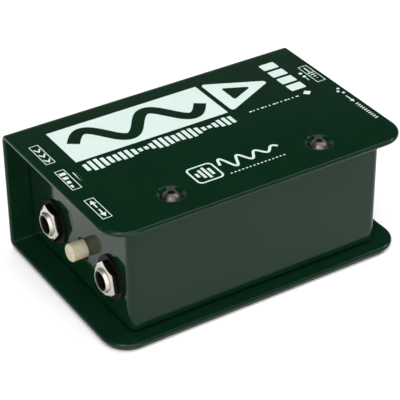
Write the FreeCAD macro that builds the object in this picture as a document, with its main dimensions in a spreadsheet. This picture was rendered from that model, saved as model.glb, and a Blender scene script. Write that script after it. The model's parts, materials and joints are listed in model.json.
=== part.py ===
import FreeCAD, Part
import math
import os
import re

import Sketcher

# Passive direct injection box: a bent steel outer shell closed by an inner chassis, two quarter-inch
# jacks and a pad button at one end, a three-pin male output and a ground-lift button at the other,
# and a transformer on a circuit board inside.
#
# Frame: +X along the length towards the output end, +Z up, origin under the middle of the no-slip pad.
# Pieces at the two ends are drawn in a station frame: +X points into the box from the outer face of
# the end panel, and z = 0 is the height of the connector axes.

SIZES = {
    # outer shell, bent from one sheet
    "case_length": 127.0,
    "case_depth": 82.55,
    "case_height": 50.0,
    "case_sheet": 2.0,
    "case_bend": 3.0,
    "plate_corner": 10.5,
    "edge_round": 0.9,
    # no-slip pad under the bottom plate
    "pad_thick": 1.5,
    "pad_inset": 1.6,
    "pad_corner": 9.0,
    "pad_hole": 6.5,
    # inner chassis, a tray of thinner sheet that closes the front and both ends
    "chassis_length": 107.95,
    "chassis_front": 36.1,
    "chassis_rear": 38.2,
    "chassis_sheet": 1.6,
    "chassis_bend": 3.0,
    "front_flange": 16.0,
    "end_flange": 11.0,
    "fit_gap": 0.05,
    # button-head screws, each set in a countersink, that join the shell to the chassis top and bottom
    "screw_across": 31.75,
    "screw_forward": 27.8,
    "sink_radius": 5.2,
    "sink_round": 0.4,
    "head_radius": 3.8,
    "head_rise": 2.2,
    "shank_radius": 2.0,
    "shank_gap": 0.1,
    "screw_length": 5.8,
    "key_radius": 1.44,
    "key_depth": 1.4,
    "clinch_radius": 3.9,
    "clinch_height": 2.5,
    # the row of connectors at each end
    "socket_rise": 19.85,
    "input_across": 19.1,
    "thru_across": -22.9,
    "pad_across": -1.85,
    "lift_across": 15.6,
    "output_across": -12.1,
    # quarter-inch jack
    "jack_bore": 3.25,
    "bushing_radius": 4.76,
    "bushing_out": 4.8,
    "mouth_radius": 3.85,
    "bushing_in": 9.0,
    "lip_width": 0.35,
    "bushing_flange": 6.9,
    "flange_end": 3.1,
    "washer_radius": 8.6,
    "washer_thick": 1.0,
    "nut_flats": 12.7,
    "nut_thick": 2.7,
    "nut_face": 5.75,
    "nut_slope": 2.25,
    "jack_end": 29.0,
    "jack_half_width": 8.0,
    "jack_above": 9.0,
    "plug_room": 3.6,
    "plug_reach": 27.5,
    "leaf_thick": 0.4,
    "leaf_curl": 0.45,
    "leaf_width": 4.0,
    "leaf_root": 11.2,
    "leaf_contact": 22.4,
    "leaf_tip": 25.2,
    "leaf_rise": 4.6,
    "leaf_dip": 2.4,
    "leaf_slot": 5.2,
    "leaf_bend": 2.0,
    "leaf_room": 1.0,
    "terminal_thick": 0.4,
    "terminal_tab": 0.5,
    "terminal_back": 0.6,
    "terminal_tall": 1.6,
    "sleeve_half": 1.5,
    "sleeve_gap": 0.2,
    "moulded_round": 0.5,
    # push switches
    "button_radius": 3.5,
    "button_out": 6.0,
    "button_in": 5.0,
    "button_edge": 0.55,
    "button_hole": 4.3,
    "plunger_side": 2.6,
    "switch_front": 9.0,
    "switch_end": 27.0,
    "switch_half_width": 4.6,
    "switch_above": 4.8,
    "slider_side": 5.0,
    "slider_start": 12.0,
    "slider_end": 19.5,
    "cavity_side": 6.2,
    "cavity_start": 10.4,
    "cavity_end": 25.6,
    "spring_radius": 1.6,
    "spring_wire": 0.25,
    "spring_pitch": 1.3,
    "blade_thick": 0.3,
    "blade_half": 2.2,
    "blade_inset": 1.0,
    "plunger_out": 0.9,
    "slide_gap": 0.3,
    "switch_pin_first": 13.5,
    "switch_pin_pitch": 4.0,
    "switch_pin_row": 2.5,
    # three-pin male output connector
    "output_width": 26.0,
    "output_height": 31.0,
    "output_plate": 2.2,
    "output_corner": 3.5,
    "barrel_radius": 10.35,
    "barrel_bore": 9.5,
    "barrel_depth": 20.0,
    "socket_depth": 14.0,
    "output_hole": 11.0,
    "contact_radius": 1.2,
    "contact_circle": 4.4,
    "contact_start": 1.5,
    "contact_nose": 0.8,
    "signal_tail": 2.6,
    "ground_tail": 1.0,
    "tail_half": 0.4,
    "screw_step_y": 9.5,
    "screw_step_z": 12.0,
    "small_shank": 1.45,
    "small_hole": 1.6,
    "small_head": 2.8,
    "small_head_thick": 1.5,
    "small_nut_flats": 5.5,
    "small_nut_thick": 2.2,
    "pan_length": 6.5,
    "recess_half": 0.3,
    "recess_reach": 1.5,
    "recess_depth": 0.9,
    "slot_half": 0.35,
    "slot_depth": 0.8,
    # circuit board and what holds it
    "board_left": 52.0,
    "board_right": 49.2,
    "board_front": 31.5,
    "board_rear": 34.0,
    "board_thick": 1.6,
    "board_top": 9.0,
    "pin_radius": 0.45,
    "pin_hole": 0.6,
    "pin_below": 0.8,
    "cut_spare": 1.0,
    "front_post_across": 19.0,
    "front_post_forward": 27.5,
    "rear_post_across": 46.0,
    "rear_post_back": 30.6,
    "post_flats": 5.0,
    "board_screw_length": 4.9,
    # transformer
    "can_x": 0.0,
    "can_y": 10.0,
    "can_radius": 15.0,
    "can_wall": 0.8,
    "can_height": 34.0,
    "can_edge": 2.2,
    "base_thick": 2.5,
    "can_pin_out": 10.0,
    "can_pin_above": 0.5,
    "can_screw_out": 10.5,
    "core_lift": 3.5,
    "core_width": 20.0,
    "core_height": 22.0,
    "core_depth": 6.0,
    "core_bar": 3.2,
    "bobbin_wall": 0.6,
    "winding_thick": 1.3,
    "winding_inset": 0.6,
    # small components
    "resistor_radius": 1.15,
    "resistor_length": 6.3,
    "resistor_reach": 10.2,
    "resistor_lift": 0.2,
    "lead_radius": 0.3,
    "lead_below": 0.6,
    "film_length": 10.0,
    "film_width": 4.5,
    "film_height": 8.0,
    "film_lift": 0.3,
    "film_lead": 3.75,
    "film_across": 5.5,
}

doc = FreeCAD.newDocument("direct_box")
sheet = doc.addObject("Spreadsheet::Sheet", "Sizes")
for row, (alias, size) in enumerate(SIZES.items(), start=1):
    sheet.set(f"A{row}", alias)
    sheet.set(f"B{row}", str(size))
    sheet.setAlias(f"B{row}", alias)
doc.recompute()


NODES = []
PIN_SPOTS = []
NUT_TURN = {"input_jack": 37.5, "thru_jack": 49.0}
COIL_PIECE = 0.5
LEFT = "-chassis_length / 2"
RIGHT = "chassis_length / 2"
FLOOR = "pad_thick + case_sheet"
CEILING = "pad_thick + case_height - case_sheet"
AXIS_HEIGHT = "pad_thick + socket_rise"
BOARD_TOP = "pad_thick + board_top"
BOARD_DROP = "socket_rise - board_top"


def formula(text):
    """The text as an expression on the sheet's cells."""
    return re.sub(r"[a-z_]+", lambda word: "Sizes." + word[0] if word[0] in SIZES else word[0], text)


def value(text):
    """What the text comes to with the sheet's present numbers."""
    return float(sheet.evalExpression(formula(text)))


def bind(thing, **sizes):
    """Drive properties from the sheet. A double underscore stands for the dot in a path."""
    for path, text in sizes.items():
        thing.setExpression(path.replace("__", "."), formula(text))
    return thing


def keep(thing, label):
    """Make the object a finished piece under its own name."""
    thing.Label = label
    NODES.append(thing)
    return thing


def place(thing, x="0", y="0", z="0", turn=0, axis=(0, 0, 1)):
    thing.Placement = FreeCAD.Placement(FreeCAD.Vector(), FreeCAD.Rotation(FreeCAD.Vector(*axis), turn))
    return bind(thing, Placement__Base__x=x, Placement__Base__y=y, Placement__Base__z=z)


def station(thing, x, y):
    """Stand a piece at an end panel, turned so that its +X points into the box."""
    return place(thing, x, y, AXIS_HEIGHT, turn=0 if value(x) < 0 else 180)


def in_station(edge_x, across, x, y):
    """A station's point as a place in the part's frame."""
    sign = "+" if value(edge_x) < 0 else "-"
    return f"{edge_x} {sign} ({x})", f"{across} {sign} ({y})"


# ---- PartDesign helpers -------------------------------------------------------------------------

def new_body(label):
    return keep(doc.addObject("PartDesign::Body", label), label)


def attach(feature, owner, role, height="0"):
    plane = next(part for part in owner.Origin.OriginFeatures if part.Role == role)
    feature.AttachmentSupport = [(plane, "")]
    feature.MapMode = "FlatFace"
    bind(feature, AttachmentOffset__Base__z=height)


def add_outline(sketch, corners):
    """A closed outline of straight lines, each corner held at its distances from the sketch origin."""
    first = sketch.GeometryCount
    points = [FreeCAD.Vector(value(x), value(y), 0) for x, y in corners]
    for index, start in enumerate(points):
        sketch.addGeometry(Part.LineSegment(start, points[(index + 1) % len(points)]))
    for index in range(len(points)):
        following = first + (index + 1) % len(points)
        sketch.addConstraint(Sketcher.Constraint("Coincident", first + index, 2, following, 1))
    for index, (corner, point) in enumerate(zip(corners, points)):
        for kind, text, size in zip(("DistanceX", "DistanceY"), corner, point):
            number = sketch.addConstraint(Sketcher.Constraint(kind, -1, 1, first + index, 1, size))
            sketch.setExpression(f"Constraints[{number}]", formula(text))


def add_circle(sketch, x, y, radius):
    number = sketch.addGeometry(
        Part.Circle(FreeCAD.Vector(value(x), value(y), 0), FreeCAD.Vector(0, 0, 1), value(radius))
    )
    for kind, text in (("DistanceX", x), ("DistanceY", y)):
        size = sketch.addConstraint(Sketcher.Constraint(kind, -1, 1, number, 3, value(text)))
        sketch.setExpression(f"Constraints[{size}]", formula(text))
    size = sketch.addConstraint(Sketcher.Constraint("Radius", number, value(radius)))
    sketch.setExpression(f"Constraints[{size}]", formula(radius))


def new_sketch(owner, role, height="0", outlines=(), circles=()):
    sketch = owner.newObject("Sketcher::SketchObject", owner.Name + "_sketch")
    attach(sketch, owner, role, height)
    for corners in outlines:
        add_outline(sketch, corners)
    for x, y, radius in circles:
        add_circle(sketch, x, y, radius)
    return sketch


def rectangle(low_x, high_x, low_y, high_y):
    return [(low_x, low_y), (high_x, low_y), (high_x, high_y), (low_x, high_y)]


def pad(owner, sketch, length, both=False, back=False):
    feature = owner.newObject("PartDesign::Pad", owner.Name + "_pad")
    feature.Profile = sketch
    feature.SideType = "Symmetric" if both else "One side"
    feature.Reversed = back
    bind(feature, Length=length)
    doc.recompute()
    return feature


def pocket(owner, sketch, depth, both=False, back=False):
    """Cut the sketch into the body, and check that it cut something."""
    before = owner.Shape.Volume
    feature = owner.newObject("PartDesign::Pocket", owner.Name + "_pocket")
    feature.Profile = sketch
    feature.SideType = "Symmetric" if both else "One side"
    feature.Reversed = back
    bind(feature, Length=depth)
    doc.recompute()
    if not owner.Shape.Volume < before - 1e-6:
        raise RuntimeError(f"a pocket of {owner.Label} cuts nothing")
    return feature


def revolve(owner, sketch, about):
    feature = owner.newObject("PartDesign::Revolution", owner.Name + "_turned")
    feature.Profile = sketch
    feature.ReferenceAxis = (sketch, [about])
    feature.Angle = 360
    doc.recompute()
    return feature


def sink(owner, x, y, z, low_radius, high_radius, height):
    """Cut a cone that stands on the body's XY plane, widening upwards."""
    cone = owner.newObject("PartDesign::SubtractiveCone", owner.Name + "_sink")
    attach(cone, owner, "XY_Plane", z)
    bind(cone, Radius1=low_radius, Radius2=high_radius, Height=height)
    bind(cone, AttachmentOffset__Base__x=x, AttachmentOffset__Base__y=y)
    doc.recompute()
    return cone


def fillet(owner, radius, wanted):
    """Round the edges of the body's newest feature that the test wants."""
    base = owner.Tip
    names = [f"Edge{number}" for number, edge in enumerate(base.Shape.Edges, start=1) if wanted(edge)]
    feature = owner.newObject("PartDesign::Fillet", owner.Name + "_round")
    feature.Base = (base, names)
    bind(feature, Radius=radius)
    doc.recompute()
    return feature


def middle(edge):
    return edge.valueAt((edge.FirstParameter + edge.LastParameter) / 2)


def runs_along(edge, axis):
    """Whether the edge is straight and parallel to X, Y or Z."""
    start, end = edge.firstVertex().Point, edge.lastVertex().Point
    run = end - start
    straight = near(run.Length, edge.Length) and run.Length > 0
    return straight and abs(getattr(run, axis)) > 0.999 * run.Length


def near(first, second):
    return abs(first - second) < 0.01


# ---- Part helpers -------------------------------------------------------------------------------

def solid(kind, **sizes):
    return bind(doc.addObject("Part::" + kind, kind.lower()), **sizes)


def block(low_x, high_x, low_y, high_y, low_z, high_z):
    box = solid("Box", Length=f"{high_x} - ({low_x})", Width=f"{high_y} - ({low_y})",
                Height=f"{high_z} - ({low_z})")
    return place(box, low_x, low_y, low_z)


def rod(radius, length, x="0", y="0", z="0", along_x=False):
    """A cylinder that starts at the point and runs up Z, or along X."""
    cylinder = solid("Cylinder", Radius=radius, Height=length)
    return place(cylinder, x, y, z, turn=90 if along_x else 0, axis=(0, 1, 0))


def hexagon(flats, length, x="0", y="0", z="0", along_x=False):
    prism = solid("Prism", Circumradius=f"({flats}) / sqrt(3)", Height=length)
    prism.Polygon = 6
    return place(prism, x, y, z, turn=90 if along_x else 0, axis=(0, 1, 0))


def cut(base, tool):
    joined = doc.addObject("Part::Cut", "cut")
    joined.Base = base
    joined.Tool = tool
    return joined


def fuse(*pieces):
    joined = doc.addObject("Part::MultiFuse", "fuse")
    joined.Shapes = list(pieces)
    joined.Refine = True
    return joined


def group(label, pieces):
    """Several separate solids under one name."""
    joined = doc.addObject("Part::Compound", label)
    joined.Links = list(pieces)
    return keep(joined, label)


# ---- case ---------------------------------------------------------------------------------------

def make_outer_shell():
    """One sheet bent to a C: top plate, back wall and bottom plate, open towards the front."""
    shell = new_body("outer_shell")
    low, high = "pad_thick", "pad_thick + case_height"
    front, back = "-case_depth / 2", "case_depth / 2"
    bent = [
        (front, low),
        (back, low),
        (back, high),
        (front, high),
        (front, high + " - case_sheet"),
        (back + " - case_sheet", high + " - case_sheet"),
        (back + " - case_sheet", low + " + case_sheet"),
        (front, low + " + case_sheet"),
    ]
    pad(shell, new_sketch(shell, "YZ_Plane", outlines=[bent]), "case_length", both=True)
    outside, inside = value(back), value(back + " - case_sheet")
    fillet(shell, "case_bend", lambda edge: runs_along(edge, "x") and near(middle(edge).y, outside))
    fillet(shell, "case_bend - case_sheet",
           lambda edge: runs_along(edge, "x") and near(middle(edge).y, inside)
           and value(low) + 1 < middle(edge).z < value(high) - 1)
    front_line = value(front)
    end_line = value("case_length / 2")
    fillet(shell, "plate_corner",
           lambda edge: runs_along(edge, "z") and near(middle(edge).y, front_line))

    def on_sheet_edge(edge):
        """The long edges of the cut sheet, but not the short ones across its thickness."""
        if runs_along(edge, "z") and edge.Length < value("case_sheet + edge_round"):
            return False
        if near(edge.Length, value("plate_corner") * math.pi / 2):
            return True
        if near(middle(edge).y, front_line) and runs_along(edge, "x"):
            return True
        return near(abs(middle(edge).x), end_line)

    fillet(shell, "edge_round", on_sheet_edge)
    throat = "sink_radius - case_sheet"
    for side in ("", "-"):
        across = side + "screw_across"
        sink(shell, across, "-screw_forward", high + " - case_sheet", throat, "sink_radius", "case_sheet")
        sink(shell, across, "-screw_forward", low, "sink_radius", throat, "case_sheet")
    fillet(shell, "sink_round", lambda edge: near(edge.Length, 2 * math.pi * value("sink_radius")))


def make_no_slip_pad():
    """Rubber sheet under the bottom plate, with holes that clear the bottom screws."""
    sheet_pad = new_body("no_slip_pad")
    half_x, half_y = "(case_length / 2 - pad_inset)", "(case_depth / 2 - pad_inset)"
    outline = rectangle("-" + half_x, half_x, "-" + half_y, half_y)
    pad(sheet_pad, new_sketch(sheet_pad, "XY_Plane", outlines=[outline]), "pad_thick")
    fillet(sheet_pad, "pad_corner", lambda edge: runs_along(edge, "z") and middle(edge).y < 0)
    holes = [(side + "screw_across", "-screw_forward", "pad_hole") for side in ("-", "")]
    pocket(sheet_pad, new_sketch(sheet_pad, "XY_Plane", circles=holes), "pad_thick", back=True)


def make_inner_chassis():
    """Folded tray that closes the front and both ends, with flanges under the top and over the bottom."""
    tray = new_body("inner_chassis")
    half, inner = "(chassis_length / 2)", "(chassis_length / 2 - chassis_sheet)"
    low, high = FLOOR, CEILING
    height = "case_height - 2 * case_sheet"
    front_line = -value("chassis_front")
    end_line = value(half)
    levels = (value(low), value(high))
    outline = rectangle("-" + half, half, "-chassis_front", "chassis_rear")
    pad(tray, new_sketch(tray, "XY_Plane", low, outlines=[outline]), height)

    def outer_bend(edge):
        point = middle(edge)
        if runs_along(edge, "z"):
            return near(point.y, front_line)
        flat = near(point.z, levels[0]) or near(point.z, levels[1])
        return flat and (near(point.y, front_line) or near(abs(point.x), end_line))

    fillet(tray, "chassis_bend", outer_bend)
    hollow = rectangle("-" + inner, inner, low + " + chassis_sheet", high + " - chassis_sheet")
    depth = "chassis_rear + chassis_front - chassis_sheet"
    pocket(tray, new_sketch(tray, "XZ_Plane", "-chassis_rear", outlines=[hollow]), depth, back=True)
    inner_front = front_line + value("chassis_sheet")
    inner_end = value(inner)
    inner_levels = (levels[0] + value("chassis_sheet"), levels[1] - value("chassis_sheet"))

    def inner_bend(edge):
        point = middle(edge)
        if runs_along(edge, "z"):
            return near(point.y, inner_front) and near(abs(point.x), inner_end)
        flat = near(point.z, inner_levels[0]) or near(point.z, inner_levels[1])
        along_front = runs_along(edge, "x") and near(point.y, inner_front)
        along_end = runs_along(edge, "y") and near(abs(point.x), inner_end)
        return flat and (along_front or along_end)

    fillet(tray, "chassis_bend - chassis_sheet", inner_bend)
    window = rectangle("-(chassis_length / 2 - end_flange)", "chassis_length / 2 - end_flange",
                       "front_flange - chassis_front", "chassis_rear + cut_spare")
    pocket(tray, new_sketch(tray, "XY_Plane", low, outlines=[window]), height, back=True)
    left_holes = [
        ("input_across", AXIS_HEIGHT, "bushing_radius + shank_gap"),
        ("thru_across", AXIS_HEIGHT, "bushing_radius + shank_gap"),
        ("pad_across", AXIS_HEIGHT, "button_hole"),
    ]
    right_holes = [
        ("output_across", AXIS_HEIGHT, "output_hole"),
        ("lift_across", AXIS_HEIGHT, "button_hole"),
        ("output_across + screw_step_y", AXIS_HEIGHT + " - screw_step_z", "small_hole"),
        ("output_across - screw_step_y", AXIS_HEIGHT + " + screw_step_z", "small_hole"),
    ]
    for edge_x, holes, inwards in ((LEFT, left_holes, True), (RIGHT, right_holes, False)):
        pocket(tray, new_sketch(tray, "YZ_Plane", edge_x, circles=holes), "chassis_sheet", back=inwards)
    bores = [(side + "screw_across", "-screw_forward", "shank_radius + shank_gap") for side in ("-", "")]
    pocket(tray, new_sketch(tray, "XY_Plane", low, circles=bores), height, back=True)


def button_screw(x, seat, upright):
    """Button-head screw with a hexagonal key socket, the underside of its head at the seat's height."""
    ball = "(head_radius ^ 2 + head_rise ^ 2) / (2 * head_rise)"
    dome = doc.addObject("Part::Common", "dome")
    dome.Base = place(solid("Sphere", Radius=ball), z=f"head_rise - {ball}")
    dome.Tool = rod("head_radius", "head_rise")
    shank = rod("shank_radius", "screw_length + head_rise / 4", z="-screw_length")
    key = hexagon("key_radius * sqrt(3)", "key_depth", z="head_rise - key_depth")
    screw = cut(fuse(dome, shank), key)
    return place(screw, x, "-screw_forward", seat, turn=0 if upright else 180, axis=(1, 0, 0))


def make_case_screws():
    """Each head rests on the countersink where the cone is as wide as the head."""
    depth = "(sink_radius - head_radius - fit_gap)"
    seats = (("top_screws", f"pad_thick + case_height - {depth}", True),
             ("bottom_screws", f"pad_thick + {depth}", False))
    for label, seat, upright in seats:
        group(label, [button_screw(side + "screw_across", seat, upright) for side in ("-", "")])


def clinch_nut(x, z):
    return cut(rod("clinch_radius", "clinch_height", x, "-screw_forward", z),
               rod("shank_radius + fit_gap", "clinch_height", x, "-screw_forward", z))


def make_clinch_nuts():
    lower = FLOOR + " + chassis_sheet"
    upper = CEILING + " - chassis_sheet - clinch_height"
    group("clinch_nuts", [clinch_nut(side + "screw_across", z) for side in ("-", "") for z in (lower, upper)])


# ---- quarter-inch jacks -------------------------------------------------------------------------

def make_jack(name, across):
    """Panel jack: metal bushing with a tapered lip, nut and washer outside, housing and contacts inside."""
    bushing = new_body(name + "_bushing")
    crest = "bushing_radius"
    profile = [
        ("-bushing_out", "mouth_radius"),
        ("-bushing_out", "mouth_radius + lip_width"),
        ("-washer_thick - nut_thick - fit_gap", crest),
        ("chassis_sheet", crest),
        ("chassis_sheet", "bushing_flange"),
        ("flange_end", "bushing_flange"),
        ("flange_end", crest),
        ("bushing_in", crest),
        ("bushing_in", "jack_bore"),
        ("mouth_radius - jack_bore - bushing_out", "jack_bore"),
    ]
    revolve(bushing, new_sketch(bushing, "XY_Plane", outlines=[profile]), "H_Axis")
    station(bushing, LEFT, across)

    ring = cut(rod("washer_radius", "washer_thick", x="-washer_thick", along_x=True),
               rod("bushing_radius + fit_gap", "washer_thick", x="-washer_thick", along_x=True))
    keep(station(ring, LEFT, across), name + "_washer")

    outer = "-washer_thick - nut_thick"
    chamfer = solid("Cone", Radius1="nut_face", Radius2="nut_face + nut_thick * nut_slope",
                    Height="nut_thick")
    crown = doc.addObject("Part::Common", "crown")
    crown.Base = hexagon("nut_flats", "nut_thick")
    crown.Tool = chamfer
    nut = cut(crown, rod("bushing_radius + fit_gap", "nut_thick"))
    spin = FreeCAD.Rotation(FreeCAD.Vector(0, 0, 1), NUT_TURN[name])
    nut.Placement = FreeCAD.Placement(FreeCAD.Vector(), FreeCAD.Rotation(FreeCAD.Vector(0, 1, 0), 90) * spin)
    bind(nut, Placement__Base__x=f"{LEFT} + ({outer})", Placement__Base__y=across,
         Placement__Base__z=AXIS_HEIGHT)
    keep(nut, name + "_nut")

    housing = new_body(name + "_housing")
    front = "flange_end + terminal_thick + fit_gap"
    side = rectangle(front, "jack_end", f"-({BOARD_DROP})", "jack_above")
    pad(housing, new_sketch(housing, "XZ_Plane", outlines=[side]), "2 * jack_half_width", both=True)
    fillet(housing, "moulded_round", lambda edge: near(middle(edge).z, value("jack_above")))
    for radius, reach in (("bushing_radius + fit_gap", "bushing_in + fit_gap"), ("plug_room", "plug_reach")):
        pocket(housing, new_sketch(housing, "YZ_Plane", circles=[("0", "0", radius)]), reach, back=True)
    tip_back = "(leaf_root - terminal_back)"
    tip_front = f"({tip_back} - terminal_thick)"
    room = "2 * fit_gap"
    slot = rectangle(f"{tip_front} - {room}", "leaf_tip + leaf_room", "-leaf_slot / 2", "leaf_slot / 2")
    pocket(housing, new_sketch(housing, "XY_Plane", outlines=[slot]), "jack_above", back=True)
    notch = rectangle(f"{tip_front} - {room}", f"{tip_back} + {room}", "0", "jack_half_width")
    pocket(housing, new_sketch(housing, "XY_Plane", f"leaf_rise - {room}", outlines=[notch]), "jack_above",
           back=True)
    station(housing, LEFT, across)

    leaf = new_body(name + "_tip_spring")
    path = [
        ("leaf_root", "leaf_rise"),
        ("leaf_contact - leaf_bend", "leaf_rise"),
        ("leaf_contact", "leaf_dip"),
        ("leaf_tip", "leaf_rise"),
    ]
    top_side = [(x, z + " + leaf_thick") for x, z in reversed(path)]
    pad(leaf, new_sketch(leaf, "XZ_Plane", outlines=[path + top_side]), "leaf_width", both=True)
    curl = [("leaf_root", "leaf_rise + leaf_thick / 2", "leaf_curl")]
    pad(leaf, new_sketch(leaf, "XZ_Plane", circles=curl), "leaf_width", both=True)
    station(leaf, LEFT, across)

    foot = f"-({BOARD_DROP}) - board_thick - pin_below"
    side_in, side_out = "jack_half_width", "jack_half_width + terminal_tab"
    tip_top = "leaf_rise + terminal_tall"
    tip = fuse(
        block(tip_front, tip_back, "-leaf_width / 2", side_out, "leaf_rise", tip_top),
        block(tip_front, tip_back, side_in, side_out, foot, tip_top),
    )
    sleeve_back = "flange_end + terminal_thick"
    sleeve = fuse(
        block("flange_end", sleeve_back, f"-({side_out})", "-bushing_radius - sleeve_gap",
              "-sleeve_half", "sleeve_half"),
        block("flange_end", sleeve_back, f"-({side_out})", f"-({side_in})", foot, "sleeve_half"),
    )
    terminals = group(name + "_terminals", [tip, sleeve])
    station(terminals, LEFT, across)
    PIN_SPOTS.append(in_station(LEFT, across, f"{tip_back} - terminal_thick / 2",
                                "jack_half_width + terminal_tab / 2"))
    PIN_SPOTS.append(in_station(LEFT, across, "flange_end + terminal_thick / 2",
                                "-jack_half_width - terminal_tab / 2"))


# ---- push switches ------------------------------------------------------------------------------

def make_switch(name, edge_x, across):
    """Latching push switch: the button, plunger and blade slide inwards against a coil spring."""
    button = new_body(name + "_button")
    tip, back = "-button_out", "button_in"
    profile = [
        (tip, "0"),
        (tip, "button_radius - button_edge"),
        (tip + " + button_edge", "button_radius"),
        (back, "button_radius"),
        (back, "0"),
    ]
    revolve(button, new_sketch(button, "XY_Plane", outlines=[profile]), "H_Axis")
    half = "(plunger_side / 2 + fit_gap)"
    socket = rectangle("-" + half, half, "-" + half, half)
    depth = "button_in + plunger_out + fit_gap"
    pocket(button, new_sketch(button, "YZ_Plane", back, outlines=[socket]), depth)
    station(button, edge_x, across)

    stem, slider = "(plunger_side / 2)", "(slider_side / 2)"
    plunger = fuse(
        block("-plunger_out", "slider_start", "-" + stem, stem, "-" + stem, stem),
        block("slider_start", "slider_end", "-" + slider, slider, "-" + slider, slider),
    )
    keep(station(plunger, edge_x, across), name + "_plunger")

    blade = block("slider_start + blade_inset", "slider_end - blade_inset", "-blade_half", "blade_half",
                  f"-{slider} - blade_thick", "-" + slider)
    station(group(name + "_blade", [blade]), edge_x, across)

    housing = new_body(name + "_housing")
    side = rectangle("switch_front", "switch_end", f"-({BOARD_DROP})", "switch_above")
    pad(housing, new_sketch(housing, "XZ_Plane", outlines=[side]), "2 * switch_half_width", both=True)
    fillet(housing, "moulded_round", lambda edge: near(middle(edge).z, value("switch_above")))
    cavity = "(cavity_side / 2)"
    room = rectangle("-" + cavity, cavity, "-" + cavity, cavity)
    gap = "(plunger_side / 2 + slide_gap)"
    mouth = rectangle("-" + gap, gap, "-" + gap, gap)
    pocket(housing, new_sketch(housing, "YZ_Plane", "cavity_start", outlines=[room]),
           "cavity_end - cavity_start", back=True)
    pocket(housing, new_sketch(housing, "YZ_Plane", "switch_front - cut_spare", outlines=[mouth]),
           "cavity_start - switch_front + 2 * cut_spare", back=True)
    spots = [(f"switch_pin_first + {step} * switch_pin_pitch", side + "switch_pin_row")
             for step in range(3) for side in ("-", "")]
    drilled = [(x, y, "pin_radius + fit_gap") for x, y in spots]
    pocket(housing, new_sketch(housing, "XY_Plane", f"-({BOARD_DROP})", circles=drilled),
           f"{BOARD_DROP} - {cavity} + cut_spare", back=True)
    station(housing, edge_x, across)

    top, foot = f"-{cavity}", f"-({BOARD_DROP}) - board_thick - pin_below"
    pins = [rod("pin_radius", f"{top} - ({foot})", x, y, foot) for x, y in spots]
    station(group(name + "_terminals", pins), edge_x, across)
    PIN_SPOTS.extend(in_station(edge_x, across, x, y) for x, y in spots)

    coil = solid("Helix", Pitch="spring_pitch", Height="cavity_end - slider_end - 4 * spring_wire",
                 Radius="spring_radius")
    coil.SegmentLength = COIL_PIECE
    wire = place(solid("Circle", Radius="spring_wire"), "spring_radius", turn=90, axis=(1, 0, 0))
    doc.recompute()
    spring = doc.addObject("Part::Sweep", "sweep")
    spring.Sections = [wire]
    spring.Spine = (coil, [f"Edge{number}" for number in range(1, len(coil.Shape.Edges) + 1)])
    spring.Solid = True
    spring.Frenet = True
    place(spring, "slider_end + 2 * spring_wire", turn=90, axis=(0, 1, 0))
    station(group(name + "_spring", [spring]), edge_x, across)


# ---- three-pin male output connector ------------------------------------------------------------

def make_output():
    """Panel connector: flanged metal shell, moulded insert, three contacts, two screws and their nuts."""
    shell = new_body("output_shell")
    half_width, half_height = "(output_width / 2)", "(output_height / 2)"
    plate = rectangle("-" + half_width, half_width, "-" + half_height, half_height)
    pad(shell, new_sketch(shell, "YZ_Plane", outlines=[plate]), "output_plate", back=True)
    fillet(shell, "output_corner", lambda edge: runs_along(edge, "x"))
    fillet(shell, "moulded_round", lambda edge: near(middle(edge).x, -value("output_plate")))
    barrel = [("0", "0", "barrel_radius")]
    pad(shell, new_sketch(shell, "YZ_Plane", circles=barrel), "barrel_depth")
    bore = [("0", "0", "barrel_bore")]
    pocket(shell, new_sketch(shell, "YZ_Plane", "-output_plate", circles=bore),
           "barrel_depth + output_plate", back=True)
    pocket(shell, new_sketch(shell, "YZ_Plane", "-output_plate", circles=[
        ("screw_step_y", "screw_step_z", "small_hole"),
        ("-screw_step_y", "-screw_step_z", "small_hole"),
    ]), "output_plate", back=True)
    station(shell, RIGHT, "output_across")

    spots = [("contact_circle", "0"), ("-contact_circle", "0"), ("0", "-contact_circle")]
    insert = new_body("output_insert")
    disc = [("0", "0", "barrel_bore - fit_gap")]
    pad(insert, new_sketch(insert, "YZ_Plane", "socket_depth", circles=disc), "barrel_depth - socket_depth")
    drilled = [(y, z, "contact_radius + fit_gap") for y, z in spots]
    pocket(insert, new_sketch(insert, "YZ_Plane", "socket_depth", circles=drilled),
           "barrel_depth - socket_depth", back=True)
    station(insert, RIGHT, "output_across")

    foot = f"-({BOARD_DROP}) - board_thick - pin_below"
    contacts = []
    for (y, z), tail in zip(spots, ("signal_tail", "signal_tail", "ground_tail")):
        tail_x = f"(barrel_depth + {tail})"
        nose = solid("Cone", Radius1="contact_radius / 2", Radius2="contact_radius", Height="contact_nose")
        place(nose, "contact_start", y, z, turn=90, axis=(0, 1, 0))
        shaft = rod("contact_radius", f"{tail_x} - contact_start - contact_nose",
                    "contact_start + contact_nose", y, z, along_x=True)
        leg = block(f"{tail_x} - tail_half", f"{tail_x} + tail_half", f"{y} - tail_half", f"{y} + tail_half",
                    foot, f"{z} + tail_half")
        contacts.append(fuse(nose, shaft, leg))
        PIN_SPOTS.append(in_station(RIGHT, "output_across", tail_x, y))
    station(group("output_contacts", contacts), RIGHT, "output_across")

    screws, nuts = [], []
    for sign in ("", "-"):
        y, z = sign + "screw_step_y", sign + "screw_step_z"
        screws.append(pan_screw(y, z))
        spot = ("chassis_sheet", y, z)
        nuts.append(cut(hexagon("small_nut_flats", "small_nut_thick", *spot, along_x=True),
                        rod("small_shank + fit_gap", "small_nut_thick", *spot, along_x=True)))
    station(group("output_screws", screws), RIGHT, "output_across")
    station(group("output_nuts", nuts), RIGHT, "output_across")


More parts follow.
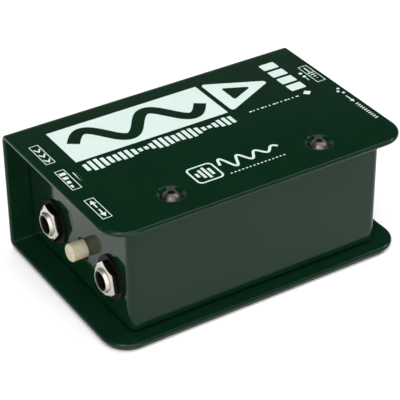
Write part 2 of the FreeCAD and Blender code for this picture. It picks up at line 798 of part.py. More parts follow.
def pan_screw(y, z):
    """Pan-head screw with a cross recess, its shank along +X from the outer face of the flange."""
    head = rod("small_head", "small_head_thick", along_x=True)
    shank = rod("small_shank", "pan_length + small_head_thick / 2", "small_head_thick / 2", along_x=True)
    recess = fuse(
        block("0", "recess_depth", "-recess_reach", "recess_reach", "-recess_half", "recess_half"),
        block("0", "recess_depth", "-recess_half", "recess_half", "-recess_reach", "recess_reach"),
    )
    return place(cut(fuse(head, shank), recess), "-output_plate - small_head_thick", y, z)


# ---- circuit board ------------------------------------------------------------------------------

POSTS = [
    ("-front_post_across", "-front_post_forward"),
    ("front_post_across", "-front_post_forward"),
    ("-rear_post_across", "rear_post_back"),
    ("rear_post_across", "rear_post_back"),
]


def board_screw(x, y):
    top = rod("small_head", "small_head_thick")
    shank = rod("small_shank", "board_screw_length + small_head_thick / 4", z="-board_screw_length")
    slot = block("-small_head", "small_head", "-slot_half", "slot_half",
                 "small_head_thick - slot_depth", "small_head_thick")
    return place(cut(fuse(top, shank), slot), x, y, BOARD_TOP)


def make_board():
    board = new_body("circuit_board")
    outline = rectangle("-board_left", "board_right", "-board_front", "board_rear")
    pad(board, new_sketch(board, "XY_Plane", BOARD_TOP, outlines=[outline]), "board_thick", back=True)
    holes = [(x, y, "pin_hole") for x, y in PIN_SPOTS]
    holes += [(x, y, "small_hole") for x, y in POSTS + CAN_SCREWS]
    pocket(board, new_sketch(board, "XY_Plane", BOARD_TOP, circles=holes), "board_thick")
    base = FLOOR + " + chassis_sheet"
    height = f"{BOARD_TOP} - board_thick - ({base})"
    posts = [cut(hexagon("post_flats", height, x, y, base), rod("small_hole", height, x, y, base))
             for x, y in POSTS]
    group("board_posts", posts)
    group("board_screws", [board_screw(x, y) for x, y in POSTS])


# ---- transformer --------------------------------------------------------------------------------

CAN_SCREWS = [("can_x - can_screw_out", "can_y"), ("can_x + can_screw_out", "can_y")]
CAN_PIN_ANGLES = (40, 65, 90, 115, 140)


def tube_block(label, inner_x, inner_y, wall, low, high):
    """Rectangular sleeve round the core's centre leg, with rounded corners."""
    sleeve = new_body(label)
    outer_x, outer_y = f"({inner_x} + {wall})", f"({inner_y} + {wall})"
    outline = rectangle("-" + outer_x, outer_x, "-" + outer_y, outer_y)
    pad(sleeve, new_sketch(sleeve, "XY_Plane", low, outlines=[outline]), f"{high} - ({low})")
    fillet(sleeve, wall, lambda edge: runs_along(edge, "z"))
    opening = rectangle(f"-({inner_x})", inner_x, f"-({inner_y})", inner_y)
    pocket(sleeve, new_sketch(sleeve, "XY_Plane", low, outlines=[opening]), f"{high} - ({low})", back=True)
    return place(sleeve, "can_x", "can_y", BOARD_TOP)


def make_transformer():
    can = new_body("transformer_can")
    inner = "(can_radius - can_wall)"
    cup = [
        (inner, "0"),
        ("can_radius", "0"),
        ("can_radius", "can_height"),
        ("0", "can_height"),
        ("0", "can_height - can_wall"),
        (inner, "can_height - can_wall"),
    ]
    revolve(can, new_sketch(can, "XZ_Plane", outlines=[cup]), "V_Axis")
    fillet(can, "can_edge", lambda edge: near(middle(edge).z, value("can_height"))
           and near(math.hypot(middle(edge).x, middle(edge).y), value("can_radius")))
    fillet(can, "can_edge - can_wall", lambda edge: near(middle(edge).z, value("can_height - can_wall"))
           and near(math.hypot(middle(edge).x, middle(edge).y), value(inner)))
    place(can, "can_x", "can_y", BOARD_TOP)

    base = new_body("transformer_base")
    disc = [("0", "0", inner + " - fit_gap")]
    pad(base, new_sketch(base, "XY_Plane", circles=disc), "base_thick")
    pins = [(f"can_pin_out * cos({angle}deg)", f"can_pin_out * sin({angle}deg)") for angle in CAN_PIN_ANGLES]
    holes = [(x, y, "pin_radius + fit_gap") for x, y in pins]
    holes += [(side + "can_screw_out", "0", "small_shank + fit_gap") for side in ("", "-")]
    pocket(base, new_sketch(base, "XY_Plane", circles=holes), "base_thick", back=True)
    place(base, "can_x", "can_y", BOARD_TOP)

    foot = "-board_thick - pin_below"
    posts = [rod("pin_radius", f"base_thick + can_pin_above - ({foot})", x, y, foot) for x, y in pins]
    place(group("transformer_pins", posts), "can_x", "can_y", BOARD_TOP)
    PIN_SPOTS.extend((f"can_x + {x}", f"can_y + {y}") for x, y in pins)

    screws = []
    for x, y in CAN_SCREWS:
        head = rod("small_head", "small_head_thick", z="-small_head_thick")
        shank = rod("small_shank", "board_thick + base_thick + small_head_thick / 4",
                    z="-small_head_thick / 4")
        slot = block("-small_head", "small_head", "-slot_half", "slot_half",
                     "-small_head_thick", "slot_depth - small_head_thick")
        screws.append(place(cut(fuse(head, shank), slot), x, y, BOARD_TOP + " - board_thick"))
    group("transformer_screws", screws)

    core = new_body("transformer_core")
    bottom = "(base_thick + core_lift)"
    half = "(core_width / 2)"
    leg = "(core_width / 8)"
    frame = rectangle("-" + half, half, bottom, bottom + " + core_height")
    windows = [rectangle(low, high, bottom + " + core_bar", bottom + " + core_height - core_bar")
               for low, high in (("core_bar - " + half, "-" + leg), (leg, half + " - core_bar"))]
    pad(core, new_sketch(core, "XZ_Plane", outlines=[frame] + windows), "core_depth", both=True)
    place(core, "can_x", "can_y", BOARD_TOP)

    low = bottom + " + core_bar"
    high = bottom + " + core_height - core_bar"
    gap = "fit_gap"
    tube_block("transformer_bobbin", f"{leg} + {gap}", f"core_depth / 2 + {gap}", "bobbin_wall",
               f"{low} + {gap}", f"{high} - {gap}")
    for label, layers, wraps in (("secondary_winding", "bobbin_wall", 2),
                                 ("primary_winding", "(bobbin_wall + winding_thick)", 3)):
        spacing = f"{layers} + {wraps} * {gap}"
        tube_block(label, f"{leg} + {spacing}", f"core_depth / 2 + {spacing}", "winding_thick",
                   f"{low} + winding_inset", f"{high} - winding_inset")


# ---- small components ---------------------------------------------------------------------------

def resistor(x, y):
    """Axial resistor that lies on the board, each lead bent down to its pad."""
    lift = "resistor_radius + resistor_lift"
    half, reach = "(resistor_length / 2)", "(resistor_reach / 2)"
    barrel = rod("resistor_radius", "resistor_length", "-" + half, z=lift, along_x=True)
    lead = rod("lead_radius", "resistor_reach", "-" + reach, z=lift, along_x=True)
    foot = "-board_thick - lead_below"
    legs = [rod("lead_radius", f"{lift} - ({foot})", side + reach, "0", foot)
            for side in ("-", "")]
    for side in ("-", ""):
        PIN_SPOTS.append((f"{x} {side or '+'} {reach}", y))
    return place(fuse(barrel, lead, *legs), x, y, BOARD_TOP)


def make_components():
    rows = [("-13.0", y) for y in ("-13.5", "-18.0", "-22.5")] + [("14.5", "-9.0")]
    group("resistors", [resistor(x, y) for x, y in rows])
    foot = "-board_thick - lead_below"
    films = []
    for y in ("-15.5", "-22.5"):
        case = block("-film_length / 2", "film_length / 2", "-film_width / 2", "film_width / 2",
                     "film_lift", "film_height")
        legs = [rod("lead_radius", f"2 * film_lift - ({foot})", side + "film_lead", "0", foot)
                for side in ("-", "")]
        films.append(place(fuse(case, *legs), "film_across", y, BOARD_TOP))
        PIN_SPOTS.extend((f"film_across {side} film_lead", y) for side in ("-", "+"))
    group("film_capacitors", films)


def check():
    """Stop unless every object computed and every piece is a valid closed shape."""
    failed = [thing.Name for thing in doc.Objects if {"Invalid", "Error"} & set(thing.State)]
    if failed:
        raise RuntimeError(f"not computed: {failed}")
    for node in NODES:
        if node.Shape.isNull() or not node.Shape.isValid() or not node.Shape.Solids:
            raise RuntimeError(f"{node.Label} has no valid solid")


make_outer_shell()
make_no_slip_pad()
make_inner_chassis()
make_case_screws()
make_clinch_nuts()
make_jack("input_jack", "input_across")
make_jack("thru_jack", "thru_across")
make_switch("pad_switch", LEFT, "pad_across")
make_switch("lift_switch", RIGHT, "lift_across")
make_output()
make_transformer()
make_components()
make_board()
doc.recompute()
check()

os.makedirs("parts", exist_ok=True)
for node in NODES:
    node.Shape.exportStep(f"parts/{node.Label}.step")
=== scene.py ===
import json
import math

import bpy
from mathutils import Matrix, Vector


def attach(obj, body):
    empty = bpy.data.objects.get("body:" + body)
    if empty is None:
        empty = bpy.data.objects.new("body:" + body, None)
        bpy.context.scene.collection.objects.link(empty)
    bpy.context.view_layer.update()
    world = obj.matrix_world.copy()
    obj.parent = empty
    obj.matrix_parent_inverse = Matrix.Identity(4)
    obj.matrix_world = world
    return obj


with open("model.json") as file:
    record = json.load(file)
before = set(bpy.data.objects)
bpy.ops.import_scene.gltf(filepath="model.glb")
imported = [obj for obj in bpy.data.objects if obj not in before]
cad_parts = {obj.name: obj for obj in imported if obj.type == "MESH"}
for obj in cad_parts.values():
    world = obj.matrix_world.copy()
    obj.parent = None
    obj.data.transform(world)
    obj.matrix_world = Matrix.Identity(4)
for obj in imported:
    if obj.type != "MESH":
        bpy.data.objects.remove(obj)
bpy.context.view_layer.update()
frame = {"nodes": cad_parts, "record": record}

MM = 0.001

# places on the case, in millimetres: the plate's upper face, the outer face of each end panel, the height
# of the jacks' axes and how far across each of them stands
PLATE_TOP = 51.5
END_PANEL = 53.975
AXIS_Z = 21.35
JACKS = {"input_jack": 19.1, "thru_jack": -22.9}

# the printing stands this far out of the plate and bites this far into it
INK_PROUD = 0.02
PLATE_BITE = 0.02

# a nut is blackened up to this distance from the end panel, and a jack's mouth is painted black within this
# radius: painted shade for the dark hole
NUT_BLACK_REACH = 3.0
MOUTH_PAINTED_SHADE_RADIUS = 3.80

# the left and right edges of the boxed labels at the jack end, and the line they are drawn with
LABEL_EDGES = (-59.7, -55.8)
LABEL_MIDDLE = -57.75
LABEL_LINE = 0.3

# the range that a noise factor seldom leaves, and the colour sockets of a Mix node
NOISE_LOW, NOISE_HIGH = 0.3, 0.7
MIX_FIRST, MIX_SECOND, MIX_RESULT = 6, 7, 2


# ---- node helpers -------------------------------------------------------------------------------

class Surface:
    """One procedural material: a Principled shader and the textures that feed it."""

    def __init__(self, name, **sockets):
        self.material = bpy.data.materials.new(name)
        self.material.use_nodes = True
        self.tree = self.material.node_tree
        self.shader = next(node for node in self.tree.nodes if node.type == "BSDF_PRINCIPLED")
        self.place = self.add("ShaderNodeTexCoord").outputs["Object"]
        for socket, value in sockets.items():
            self.shader.inputs[socket.replace("_", " ")].default_value = value

    def add(self, kind, **settings):
        node = self.tree.nodes.new(kind)
        for key, value in settings.items():
            setattr(node, key, value)
        return node

    def link(self, source, target):
        self.tree.links.new(source, target)

    def stretched(self, scale):
        """The object's coordinates in metres, scaled by axis."""
        mapping = self.add("ShaderNodeMapping")
        mapping.inputs["Scale"].default_value = scale
        self.link(self.place, mapping.inputs["Vector"])
        return mapping.outputs["Vector"]

    def noise(self, scale, detail=4.0, rough=0.5, stretch=None):
        node = self.add("ShaderNodeTexNoise")
        node.inputs["Scale"].default_value = scale
        node.inputs["Detail"].default_value = detail
        node.inputs["Roughness"].default_value = rough
        self.link(self.stretched(stretch) if stretch else self.place, node.inputs["Vector"])
        return node.outputs["Fac"]

    def along(self, axis):
        """The object's coordinate along "X", "Y" or "Z"."""
        split = self.add("ShaderNodeSeparateXYZ")
        self.link(self.place, split.inputs["Vector"])
        return split.outputs[axis]

    def cells(self, scale):
        node = self.add("ShaderNodeTexVoronoi")
        node.inputs["Scale"].default_value = scale
        self.link(self.place, node.inputs["Vector"])
        return node.outputs["Distance"]

    def bands(self, scale, axis, distortion=0.0):
        node = self.add("ShaderNodeTexWave", bands_direction=axis)
        node.inputs["Scale"].default_value = scale
        node.inputs["Distortion"].default_value = distortion
        self.link(self.place, node.inputs["Vector"])
        return node.outputs["Fac"]

    def spread(self, factor, low, high, to_low, to_high):
        """Map a factor's range onto another one."""
        node = self.add("ShaderNodeMapRange")
        sockets = ("From Min", "From Max", "To Min", "To Max")
        for socket, value in zip(sockets, (low, high, to_low, to_high)):
            node.inputs[socket].default_value = value
        self.link(factor, node.inputs["Value"])
        return node.outputs["Result"]

    def ramp(self, factor, *stops):
        """Colours along a factor: each stop is (position, (r, g, b))."""
        node = self.add("ShaderNodeValToRGB")
        line = node.color_ramp.elements
        while len(line) < len(stops):
            line.new(0.5)
        for element, (position, colour) in zip(line, stops):
            element.position = position
            element.color = (*colour, 1.0)
        self.link(factor, node.inputs["Fac"])
        return node.outputs["Color"]

    def mottled(self, factor, dark, light):
        """Two colours that follow a noise factor."""
        return self.ramp(factor, (NOISE_LOW, dark), (NOISE_HIGH, light))

    def mix(self, factor, first, second, blend="MIX"):
        node = self.add("ShaderNodeMix", data_type="RGBA", blend_type=blend)
        self.link(factor, node.inputs["Factor"])
        self.link(first, node.inputs[MIX_FIRST])
        self.link(second, node.inputs[MIX_SECOND])
        return node.outputs[MIX_RESULT]

    def colour(self, output):
        self.link(output, self.shader.inputs["Base Color"])

    def rough(self, factor, low, high):
        self.link(self.spread(factor, NOISE_LOW, NOISE_HIGH, low, high), self.shader.inputs["Roughness"])

    def relief(self, *layers):
        """Stack bumps: each layer is (height factor, depth in metres)."""
        before = None
        for height, depth in layers:
            bump = self.add("ShaderNodeBump")
            bump.inputs["Distance"].default_value = depth
            self.link(height, bump.inputs["Height"])
            if before is not None:
                self.link(before, bump.inputs["Normal"])
            before = bump.outputs["Normal"]
        self.link(before, self.shader.inputs["Normal"])


def tone(colour, gain):
    return tuple(channel * gain for channel in colour)


# ---- materials ----------------------------------------------------------------------------------

PAINT = (0.0024, 0.0160, 0.0067)


def enamel():
    """Glossy baked enamel with a faint orange peel and barely uneven film."""
    skin = Surface("green_enamel", IOR=1.275)
    film = skin.noise(38.0, 3.0)
    skin.colour(skin.mottled(film, tone(PAINT, 0.92), tone(PAINT, 1.08)))
    skin.rough(skin.noise(170.0, 5.0), 0.07, 0.115)
    skin.relief((skin.noise(420.0, 2.0), 0.000012), (skin.noise(2600.0, 1.0), 0.0000012))
    return skin.material


def rubber():
    """Closed-cell rubber sheet: fine pits and a dusty bloom."""
    skin = Surface("pad_rubber", IOR=1.45)
    bloom = skin.noise(90.0, 6.0)
    skin.colour(skin.ramp(bloom, (0.3, (0.012, 0.012, 0.012)), (0.75, (0.03, 0.03, 0.029))))
    skin.rough(skin.noise(600.0), 0.7, 0.92)
    skin.relief((skin.cells(1500.0), 0.00008), (skin.noise(300.0), 0.00005))
    return skin.material


def metal(name, light, dark, low, high, lay=(1.0, 1.0, 1.0), scale=500.0, depth=0.000004):
    """Plated or bare metal: mottled colour, uneven gloss and tool marks along one direction."""
    skin = Surface(name, Metallic=1.0)
    patches = skin.noise(240.0, 5.0)
    marks = skin.noise(scale, 4.0, 0.6, stretch=lay)
    skin.colour(skin.mix(marks, skin.mottled(patches, dark, light),
                         skin.mottled(patches, tone(dark, 0.85), tone(light, 0.92))))
    skin.rough(marks, low, high)
    skin.relief((marks, depth), (skin.noise(1800.0, 2.0), depth / 3))
    return skin.material


def jack_metal(name, shade, low, high):
    """Bright nickel, black where shade(skin) is 1: the blackened sides of a nut, or painted shade inside a
    jack's mouth.
    """
    skin = Surface(name)
    patches = skin.noise(240.0, 5.0)
    marks = skin.noise(500.0, 4.0, 0.6)
    bright = skin.mottled(patches, (0.46, 0.445, 0.39), (0.55, 0.53, 0.47))
    black = skin.mottled(patches, (0.004, 0.004, 0.003), (0.009, 0.009, 0.007))
    mask = shade(skin)
    skin.colour(skin.mix(mask, bright, black))
    skin.link(skin.spread(mask, 0.0, 1.0, 1.0, 0.6), skin.shader.inputs["Metallic"])
    skin.link(skin.spread(mask, 0.0, 1.0, 0.5, 0.1), skin.shader.inputs["Specular IOR Level"])
    skin.rough(marks, low, high)
    skin.relief((marks, 0.000003), (skin.noise(1800.0, 2.0), 0.000001))
    return skin.material


def near_end_panel(skin):
    """1 on a nut's sides, 0 over its outermost 0.6 mm: the face and most of the chamfer."""
    edge = -(END_PANEL + NUT_BLACK_REACH) * MM
    return skin.spread(skin.along("X"), edge - 0.06 * MM, edge + 0.02 * MM, 0.0, 1.0)


def bore_painted_shade(across):
    """1 within the mouth of the jack at this distance across, 0 outside it: painted shade, the bore
    coloured black to stand for the dark hole.
    """
    def shade(skin):
        shifted = skin.add("ShaderNodeVectorMath", operation="SUBTRACT")
        skin.link(skin.place, shifted.inputs[0])
        shifted.inputs[1].default_value = (0.0, across * MM, AXIS_Z * MM)
        flat = skin.add("ShaderNodeVectorMath", operation="MULTIPLY")
        skin.link(shifted.outputs["Vector"], flat.inputs[0])
        flat.inputs[1].default_value = (0.0, 1.0, 1.0)
        length = skin.add("ShaderNodeVectorMath", operation="LENGTH")
        skin.link(flat.outputs["Vector"], length.inputs[0])
        return skin.spread(length.outputs["Value"], MOUTH_PAINTED_SHADE_RADIUS * MM,
                           (MOUTH_PAINTED_SHADE_RADIUS + 0.06) * MM, 1.0, 0.0)
    return shade


def plastic(name, light, dark, low, high, grain=1400.0, depth=0.00001, ior=1.5):
    """Moulded plastic: slight flow mottling under a fine grain."""
    skin = Surface(name, IOR=ior)
    flow = skin.noise(150.0, 4.0)
    skin.colour(skin.mottled(flow, dark, light))
    skin.rough(skin.noise(700.0, 3.0), low, high)
    skin.relief((skin.noise(grain, 3.0), depth), (skin.cells(grain * 1.6), depth / 2))
    return skin.material


def ivory():
    """Aged ivory moulding with a coarse moulded grain."""
    skin = Surface("button_ivory", IOR=1.5)
    skin.shader.inputs["Subsurface Weight"].default_value = 0.08
    skin.shader.inputs["Subsurface Scale"].default_value = 0.0006
    flow = skin.noise(260.0, 5.0)
    grain = skin.cells(2500.0)
    base = skin.mottled(flow, (0.46, 0.42, 0.29), (0.55, 0.505, 0.365))
    shade = skin.ramp(grain, (0.15, (1.0, 1.0, 1.0)), (0.75, (0.74, 0.72, 0.66)))
    skin.colour(skin.mix(skin.spread(grain, 0.0, 1.0, 0.4, 1.0), base, shade, "MULTIPLY"))
    skin.rough(skin.noise(900.0), 0.42, 0.6)
    skin.relief((grain, 0.00014), (skin.noise(2500.0, 2.0), 0.00002))
    return skin.material


def ink():
    """Screen-printed white ink: matt, with a cool green cast and a faint mesh texture."""
    skin = Surface("print_ink", IOR=1.45)
    cover = skin.noise(120.0, 5.0)
    skin.colour(skin.ramp(cover, (0.25, (0.50, 0.60, 0.565)), (0.75, (0.53, 0.63, 0.595))))
    skin.rough(skin.noise(800.0), 0.38, 0.5)
    skin.relief((skin.cells(2400.0), 0.000004), (skin.noise(300.0), 0.000006))
    return skin.material


def laminate():
    """Circuit board: green mask over glass weave with faint copper fields."""
    skin = Surface("board_laminate", IOR=1.5)
    weave = skin.bands(900.0, "X", 0.4)
    weft = skin.bands(900.0, "Y", 0.4)
    fields = skin.cells(140.0)
    mask = skin.ramp(fields, (0.25, (0.012, 0.09, 0.035)), (0.4, (0.02, 0.14, 0.055)))
    threads = skin.ramp(weft, (0.2, (0.85, 0.85, 0.85)), (0.8, (1.0, 1.0, 1.0)))
    skin.colour(skin.mix(weave, mask, threads, "MULTIPLY"))
    skin.rough(skin.noise(500.0), 0.25, 0.4)
    skin.relief((weave, 0.000006), (weft, 0.000006), (fields, 0.00002))
    return skin.material


def lacquer():
    """Blue lacquered bodies with the tinned leads left bright."""
    skin = Surface("resistor_lacquer", IOR=1.5)
    skin.colour(skin.ramp(skin.bands(180.0, "X"), (0.1, (0.10, 0.28, 0.42)), (0.86, (0.12, 0.32, 0.47)),
                          (0.93, (0.30, 0.14, 0.03)), (1.0, (0.30, 0.14, 0.03))))
    skin.rough(skin.noise(600.0), 0.2, 0.4)
    skin.relief((skin.noise(900.0), 0.00003))
    return skin.material


def winding():
    """Layers of enamelled copper wire, each turn a fine ridge."""
    skin = Surface("winding_copper", Metallic=0.9)
    turns = skin.bands(1400.0, "Z", 0.2)
    skin.colour(skin.ramp(turns, (0.0, (0.16, 0.045, 0.015)), (0.6, (0.60, 0.25, 0.10))))
    skin.rough(skin.noise(700.0), 0.22, 0.38)
    skin.relief((turns, 0.00005), (skin.noise(500.0), 0.00002))
    return skin.material


def laminations():
    """Stacked iron sheets seen edge on."""
    skin = Surface("core_laminations", Metallic=0.85)
    sheets = skin.bands(1000.0, "Y", 0.1)
    stain = skin.noise(160.0, 5.0)
    iron = skin.mottled(stain, (0.10, 0.10, 0.11), (0.22, 0.22, 0.23))
    gaps = skin.ramp(sheets, (0.0, (0.35, 0.35, 0.35)), (0.3, (1.0, 1.0, 1.0)))
    skin.colour(skin.mix(stain, iron, gaps, "MULTIPLY"))
    skin.rough(stain, 0.35, 0.6)
    skin.relief((sheets, 0.00006), (stain, 0.00002))
    return skin.material


def make_finishes():
    """One material for each finish named by the parts."""
    return {
        "green_paint": enamel(),
        "pad_rubber": rubber(),
        "case_screw": metal("screw_oxide", (0.125, 0.118, 0.105), (0.07, 0.066, 0.06), 0.30, 0.46,
                            scale=900.0, depth=0.00002),
        "zinc_steel": metal("zinc_steel", (0.52, 0.53, 0.52), (0.41, 0.42, 0.42), 0.28, 0.45),
        "jack_nickel": jack_metal("jack_nickel", near_end_panel, 0.10, 0.22),
        "washer_black": plastic("washer_black", (0.0065, 0.0065, 0.005), (0.004, 0.004, 0.003), 0.3, 0.45,
                                depth=0.000008, ior=1.13),
        "black_moulding": plastic("black_moulding", (0.02, 0.02, 0.021), (0.012, 0.012, 0.012), 0.35, 0.55),
        "contact_brass": metal("contact_brass", (0.72, 0.62, 0.38), (0.55, 0.46, 0.27), 0.2, 0.35),
        "button_ivory": ivory(),
        "plunger_white": plastic("plunger_white", (0.72, 0.72, 0.68), (0.6, 0.6, 0.56), 0.35, 0.5),
        "spring_wire": metal("spring_wire", (0.6, 0.6, 0.6), (0.42, 0.42, 0.42), 0.2, 0.34),
        "output_metal": metal("output_nickel", (0.52, 0.515, 0.495), (0.47, 0.465, 0.445), 0.24, 0.36),
        "board_laminate": laminate(),
        "resistor_body": lacquer(),
        "capacitor_body": plastic("film_capacitor", (0.40, 0.045, 0.03), (0.28, 0.03, 0.02), 0.2, 0.35),
        "can_metal": metal("drawn_can", (0.58, 0.58, 0.59), (0.44, 0.44, 0.45), 0.22, 0.4,
                           lay=(1.0, 1.0, 0.08)),
        "core_iron": laminations(),
        "winding_copper": winding(),
    }


def finish_parts(finishes):
    for part in frame["record"]["subparts"]:
        node = frame["nodes"][part["node"]]
        node.data.materials.clear()
        node.data.materials.append(finishes[part["material_slot"]])
    for name, across in JACKS.items():
        bushing = frame["nodes"][name + "_bushing"]
        bushing.data.materials.clear()
        # each bushing's bore gets painted shade: black inside the jack's mouth for the dark hole
        bushing.data.materials.append(jack_metal(name + "_nickel", bore_painted_shade(across), 0.42, 0.52))


# ---- flat outlines for the printing, in millimetres ---------------------------------------------

def box(low_x, high_x, low_y, high_y):
    return [(low_x, low_y), (high_x, low_y), (high_x, high_y), (low_x, high_y)]


def disc(x, y, radius, count=28):
    turn = 2 * math.pi / count
    return [(x + radius * math.cos(turn * i), y + radius * math.sin(turn * i)) for i in range(count)]


def rounded(corners, radius, steps=5):
    """The outline with each corner replaced by an arc."""
    outline = []
    for index, corner in enumerate(corners):
        here = Vector(corner)
        before = (Vector(corners[index - 1]) - here).normalized()
        after = (Vector(corners[(index + 1) % len(corners)]) - here).normalized()
        half = before.angle(after) / 2
        reach = radius / math.tan(half)
        start, end = here + before * reach, here + after * reach
        centre = here + (before + after).normalized() * (radius / math.sin(half))
        first, last = start - centre, end - centre
        for step in range(steps + 1):
            spoke = first.lerp(last, step / steps).normalized() * radius
            outline.append(tuple(centre + spoke))
    return outline


def stroke(path, width):
    """The outline of a line of even width along the path, with flat ends."""
    left, right = [], []
    for index, point in enumerate(path):
        ahead = Vector(path[min(index + 1, len(path) - 1)])
        behind = Vector(path[max(index - 1, 0)])
        run = (ahead - behind).normalized()
        side = Vector((-run.y, run.x)) * (width / 2)
        left.append(tuple(Vector(point) + side))
        right.append(tuple(Vector(point) - side))
    return left + right[::-1]


def frame_line(low_x, high_x, low_y, high_y, line):
    """A thin rectangular border: its outer and inner outlines."""
    return [box(low_x, high_x, low_y, high_y),
            box(low_x + line, high_x - line, low_y + line, high_y - line)]


def wave(start_x, end_x, middle_y, height, turns, decay=0.0, count=72):
    """Points along a sine wave that may fade out towards its end."""
    points = []
    for index in range(count + 1):
        part = index / count
        swing = height * math.exp(-decay * part) * math.sin(2 * math.pi * turns * part)
        points.append((start_x + (end_x - start_x) * part, middle_y + swing))
    return points


def print_shape(name, outlines):
    """Ink on the top plate. An outline inside another one is a hole in it."""
    curve = bpy.data.curves.new(name, "CURVE")
    curve.dimensions = "2D"
    curve.fill_mode = "BOTH"
    curve.extrude = (INK_PROUD + PLATE_BITE) / 2 * MM
    for outline in outlines:
        spline = curve.splines.new("POLY")
        spline.points.add(len(outline) - 1)
        for point, (x, y) in zip(spline.points, outline):
            point.co = (x * MM, y * MM, 0.0, 1.0)
        spline.use_cyclic_u = True
    drawn = bpy.data.objects.new(name + "_outline", curve)
    bpy.context.collection.objects.link(drawn)
    bpy.context.view_layer.update()
    mesh = bpy.data.meshes.new_from_object(drawn.evaluated_get(bpy.context.evaluated_depsgraph_get()))
    bpy.data.objects.remove(drawn)
    mesh.name = name
    printed = bpy.data.objects.new(name, mesh)
    middle = PLATE_TOP + (INK_PROUD - PLATE_BITE) / 2
    mesh.transform(Matrix.Translation((0.0, 0.0, middle * MM)))
    mesh.materials.clear()
    mesh.materials.append(ink_finish)
    bpy.context.collection.objects.link(printed)
    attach(printed, "case")


# ---- printing on the top plate ------------------------------------------------------------------

def print_main_block():
    """White block with a thick wave knocked out of it."""
    crest = stroke(wave(-44.6, 10.2, middle_y=19.9, height=6.3, turns=2.0), width=4.9)
    print_shape("print_block", [box(-49.8, 15.4, 8.3, 31.5), crest])


def print_amplifier():
    """Outlined triangle and a stack of level segments beside it."""
    outer = rounded([(17.6, 8.3), (42.0, 20.05), (17.6, 31.8)], 1.2)
    inner = rounded([(22.9, 15.0), (33.6, 20.05), (22.9, 25.1)], 0.8)
    print_shape("print_triangle", [outer, inner])
    segments = [rounded(box(44.9, 51.7, low, low + 4.7), 0.5) for low in (8.3, 14.55, 20.8, 27.1)]
    print_shape("print_levels", segments)


def print_strip():
    """Row of narrow bars, as tall as a sound would swing."""
    first, pitch, width = -49.0, 2.48, 1.55
    middle, reach = 3.2, 3.8
    bars = []
    for index in range(26):
        swell = 0.62 + 0.38 * math.sin(index * 0.83) * math.cos(index * 0.31)
        x = first + index * pitch
        bars.append(box(x, x + width, middle - reach * swell, middle + reach * swell))
    print_shape("print_strip", bars)


def print_small_marks():
    """Line of dots and dashes that ends in a small diamond."""
    first, pitch, dash, dot = 22.3, 1.78, 1.25, 0.62
    marks = []
    for index in range(13):
        x = first + index * pitch
        marks.append(box(x, x + (dash if index % 3 == 0 else dot), 3.75, 4.4))
    marks.append([(47.3, 4.4), (49.1, 2.7), (50.9, 4.4), (49.1, 6.1)])
    print_shape("print_dots", marks)


def print_emblem():
    """Square badge with level bars, and a wave that dies away beside it."""
    first, pitch, width, middle = -18.35, 1.9, 1.1, -22.9
    badge = [rounded(box(-20.2, -9.2, -28.4, -17.4), 2.0), rounded(box(-19.5, -9.9, -27.7, -18.1), 1.5)]
    for index, height in enumerate((2.6, 5.6, 7.4, 4.4)):
        x = first + index * pitch
        badge.append(box(x, x + width, middle - height / 2, middle + height / 2))
    print_shape("print_badge", badge)
    tail = stroke(wave(-7.4, 17.6, middle_y=-21.6, height=4.3, turns=3.5, decay=1.25), width=1.05)
    ticks = [box(-7.0 + i * 1.62, -6.2 + i * 1.62, -28.3, -27.75) for i in range(15)]
    print_shape("print_wave", [tail] + ticks)


def arrow(x, tail_y, tip_y, width, line):
    """Arrow along Y, as one outline."""
    way = 1 if tip_y > tail_y else -1
    neck = tip_y - way * width * 0.95
    return [(x - line / 2, tail_y), (x - line / 2, neck), (x - width / 2, neck), (x, tip_y),
            (x + width / 2, neck), (x + line / 2, neck), (x + line / 2, tail_y)]


def chevron(y):
    """V that points down, in the middle of a label."""
    left, right = LABEL_MIDDLE - 1.25, LABEL_MIDDLE + 1.25
    return [(left, y + 1.3), (left, y + 0.2), (LABEL_MIDDLE, y - 1.7), (right, y + 0.2),
            (right, y + 1.3), (LABEL_MIDDLE, y - 0.5)]


def print_input_label():
    """Three chevrons in a box."""
    chevrons = [chevron(22.9 - index * 3.9) for index in range(3)]
    print_shape("print_label_input", frame_line(*LABEL_EDGES, 12.5, 26.5, LABEL_LINE) + chevrons)


def print_pad_label():
    """Steps that get shorter in a box, and a comb beside the button."""
    left = -59.0
    steps = frame_line(*LABEL_EDGES, -7.3, 6.7, LABEL_LINE)
    for index, length in enumerate((2.5, 2.0, 1.5, 1.0)):
        y = 4.0 - index * 2.9
        steps.append(box(left, left + length, y - 1.0, y + 0.7))
    print_shape("print_label_pad", steps)
    spine = box(-54.3, -53.9, -3.4, 3.0)
    teeth = [box(-53.9, -52.9 - abs(i) * 0.2, i * 1.5 - 0.35, i * 1.5 + 0.05) for i in range(-2, 2)]
    print_shape("print_mark_pad", [spine] + teeth)


def print_thru_label():
    """Two arrows that point apart in a box."""
    arrows = [arrow(LABEL_MIDDLE, -21.4, -16.3, 2.5, 0.6), arrow(LABEL_MIDDLE, -22.5, -27.6, 2.5, 0.6)]
    print_shape("print_label_thru", frame_line(*LABEL_EDGES, -28.8, -15.1, LABEL_LINE) + arrows)


def print_lift_label():
    """Earth sign in a box: a stem and four bars that get shorter. Two dots and a dash stand beside it."""
    stem = box(59.0, 59.6, 17.0, 20.9)
    bars = [box(57.95, 60.65, 16.1, 16.7), box(58.3, 60.3, 14.6, 15.2), box(58.7, 59.9, 13.1, 13.7),
            box(59.1, 59.5, 11.6, 12.2)]
    print_shape("print_label_lift", frame_line(57.3, 61.3, 8.8, 22.4, LABEL_LINE) + [stem] + bars)
    dots = [disc(55.5, 17.9, 0.75), disc(55.5, 15.2, 0.75)]
    print_shape("print_mark_lift", dots + [box(55.3, 55.7, 12.0, 13.9)])


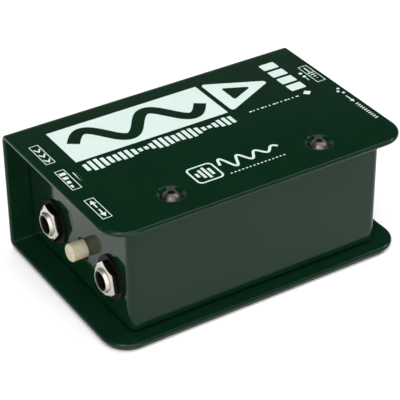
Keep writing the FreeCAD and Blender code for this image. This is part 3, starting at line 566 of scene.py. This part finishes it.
def print_output_mark():
    """Three dots, an arrow and a row of ticks."""
    dots = [disc(60.9, -3.2, 0.62), disc(60.9, 0.4, 0.62), disc(59.6, -1.4, 0.62)]
    ticks = [box(59.6, 61.0, -13.0 - i * 1.35, -12.4 - i * 1.35) for i in range(10)]
    print_shape("print_mark_output", dots + [arrow(60.3, -5.6, -11.0, 1.9, 0.5)] + ticks)


# ---- stage --------------------------------------------------------------------------------------

def make_floor():
    """Plain pale sheet that runs far past the edges of the picture."""
    surface = Surface("floor_paper", IOR=1.3)
    tint = surface.noise(6.0, 3.0)
    surface.colour(surface.mottled(tint, (0.93, 0.93, 0.93), (0.95, 0.95, 0.95)))
    surface.rough(surface.noise(60.0), 0.8, 0.9)
    half = 6.0
    mesh = bpy.data.meshes.new("floor")
    corners = [(-half, -half, 0), (half, -half, 0), (half, half, 0), (-half, half, 0)]
    mesh.from_pydata(corners, [], [(0, 1, 2, 3)])
    mesh.materials.append(surface.material)
    floor = bpy.data.objects.new("floor", mesh)
    bpy.context.collection.objects.link(floor)


def make_world():
    """Dark room, pale below a tilted horizon and for a little way above it."""
    horizon_tilt = -20.0
    world = bpy.data.worlds.new("studio")
    world.use_nodes = True
    tree = world.node_tree
    place = tree.nodes.new("ShaderNodeTexCoord")
    tilt = tree.nodes.new("ShaderNodeMapping")
    tilt.inputs["Rotation"].default_value = (math.radians(horizon_tilt), 0.0, 0.0)
    split = tree.nodes.new("ShaderNodeSeparateXYZ")
    ramp = tree.nodes.new("ShaderNodeValToRGB")
    tree.links.new(place.outputs["Generated"], tilt.inputs["Vector"])
    tree.links.new(tilt.outputs["Vector"], split.inputs["Vector"])
    tree.links.new(split.outputs["Z"], ramp.inputs["Fac"])
    stops = [(0.0, 0.8), (0.16, 0.4), (0.2, 0.14), (0.25, 0.012), (0.5, 0.01), (1.0, 0.01)]
    line = ramp.color_ramp.elements
    while len(line) < len(stops):
        line.new(0.5)
    for element, (position, level) in zip(line, stops):
        element.position = position
        element.color = (level, level, level, 1.0)
    background = tree.nodes["Background"]
    tree.links.new(ramp.outputs["Color"], background.inputs["Color"])
    bpy.context.scene.world = world


def soft_sun(name, towards, share, spread):
    """A wide soft light at a great distance. share is what it adds to a white surface that faces it."""
    lamp = bpy.data.lights.new(name, "SUN")
    lamp.energy = share * math.pi
    lamp.angle = math.radians(spread)
    light = bpy.data.objects.new(name, lamp)
    light.rotation_euler = Vector(towards).to_track_quat("-Z", "Y").to_euler()
    bpy.context.collection.objects.link(light)


def make_camera():
    """Long-lens view from above the open long side and the jack end, rolled by half a degree."""
    eye = (-0.280745, -0.445189, 0.370183)
    forward = Vector((0.44201, 0.70730, -0.55169)).normalized()
    right = forward.cross(Vector((0, 0, 1))).normalized()
    upward = right.cross(forward)
    roll = math.radians(-0.47)
    right, upward = (right * math.cos(roll) + upward * math.sin(roll),
                     upward * math.cos(roll) - right * math.sin(roll))
    turn = Matrix((right, upward, -forward)).transposed().to_4x4()
    lens = bpy.data.cameras.new("camera")
    lens.lens = 149.75
    lens.sensor_width = 36.0
    lens.clip_start = 0.01
    camera = bpy.data.objects.new("camera", lens)
    camera.matrix_world = Matrix.Translation(eye) @ turn
    bpy.context.collection.objects.link(camera)
    bpy.context.scene.camera = camera


finish_parts(make_finishes())
ink_finish = ink()
print_main_block()
print_amplifier()
print_strip()
print_small_marks()
print_emblem()
print_input_label()
print_pad_label()
print_thru_label()
print_lift_label()
print_output_mark()
make_floor()
make_world()
soft_sun("key", (0.33, 0.21, -0.92), share=0.24, spread=12)
soft_sun("overhead", (-0.28, -0.10, -0.95), share=0.48, spread=62)
soft_sun("front_fill", (0.42, 0.76, -0.42), share=1.36, spread=90)
soft_sun("right_rim", (-0.70, 0.10, -0.66), share=0.20, spread=12)
make_camera()
bpy.context.scene.view_settings.view_transform = "Standard"
